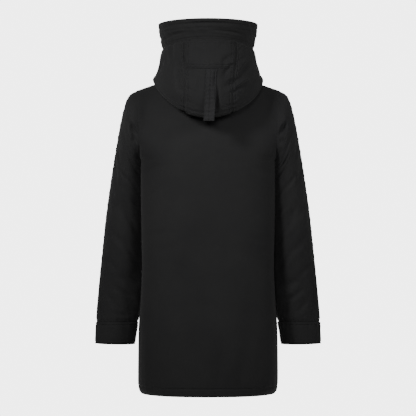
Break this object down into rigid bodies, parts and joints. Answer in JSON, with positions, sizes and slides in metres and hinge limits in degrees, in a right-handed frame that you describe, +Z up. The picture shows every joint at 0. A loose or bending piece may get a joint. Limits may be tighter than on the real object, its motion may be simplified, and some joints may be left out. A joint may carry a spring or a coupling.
{
  "type": "hooded parka",
  "caption": "Hip-length hooded parka in its worn hollow shape: two-piece sleeves with deep cuffs, hood thrown back with a standing edge band, patch and hanging strap, front zip.",
  "frame": {"origin": "midway between the high points of the shoulders, where the neck begins", "axes": "+Z up, the back of the garment faces -Y, the wearer's right arm is at +X"},
  "size_m": [0.6178, 0.32, 0.9906],
  "materials": {
    "shell_cloth": "matt tight weave",
    "webbing": "matt narrow webbing",
    "zip_tape": "matt woven tape",
    "zip_chain": "nylon coil",
    "dark_metal": "satin black"
  },
  "bodies": {
    "garment": {"back": "shell_cloth", "front_left": "shell_cloth", "front_right": "shell_cloth", "sleeve_back_left": "shell_cloth", "sleeve_front_left": "shell_cloth", "sleeve_back_right": "shell_cloth", "sleeve_front_right": "shell_cloth", "cuff_left": "shell_cloth", "cuff_right": "shell_cloth", "hood_left": "shell_cloth", "hood_centre": "shell_cloth", "hood_right": "shell_cloth", "hood_band": "shell_cloth", "hood_patch": "shell_cloth", "hood_strap": "webbing", "zip_tape_left": "zip_tape", "zip_tape_right": "zip_tape", "zip_chain": "zip_chain", "zip_slider": "dark_metal"},
    "pull": {"zip_pull": "dark_metal"}
  },
  "joints": [
    {"name": "pull_swing", "type": "hinge", "parent": "garment", "child": "pull", "pos_m": [0, 0.09197, 0.04532], "axis": [1, 0, 0], "range_deg": [-5, 150]}
  ]
}
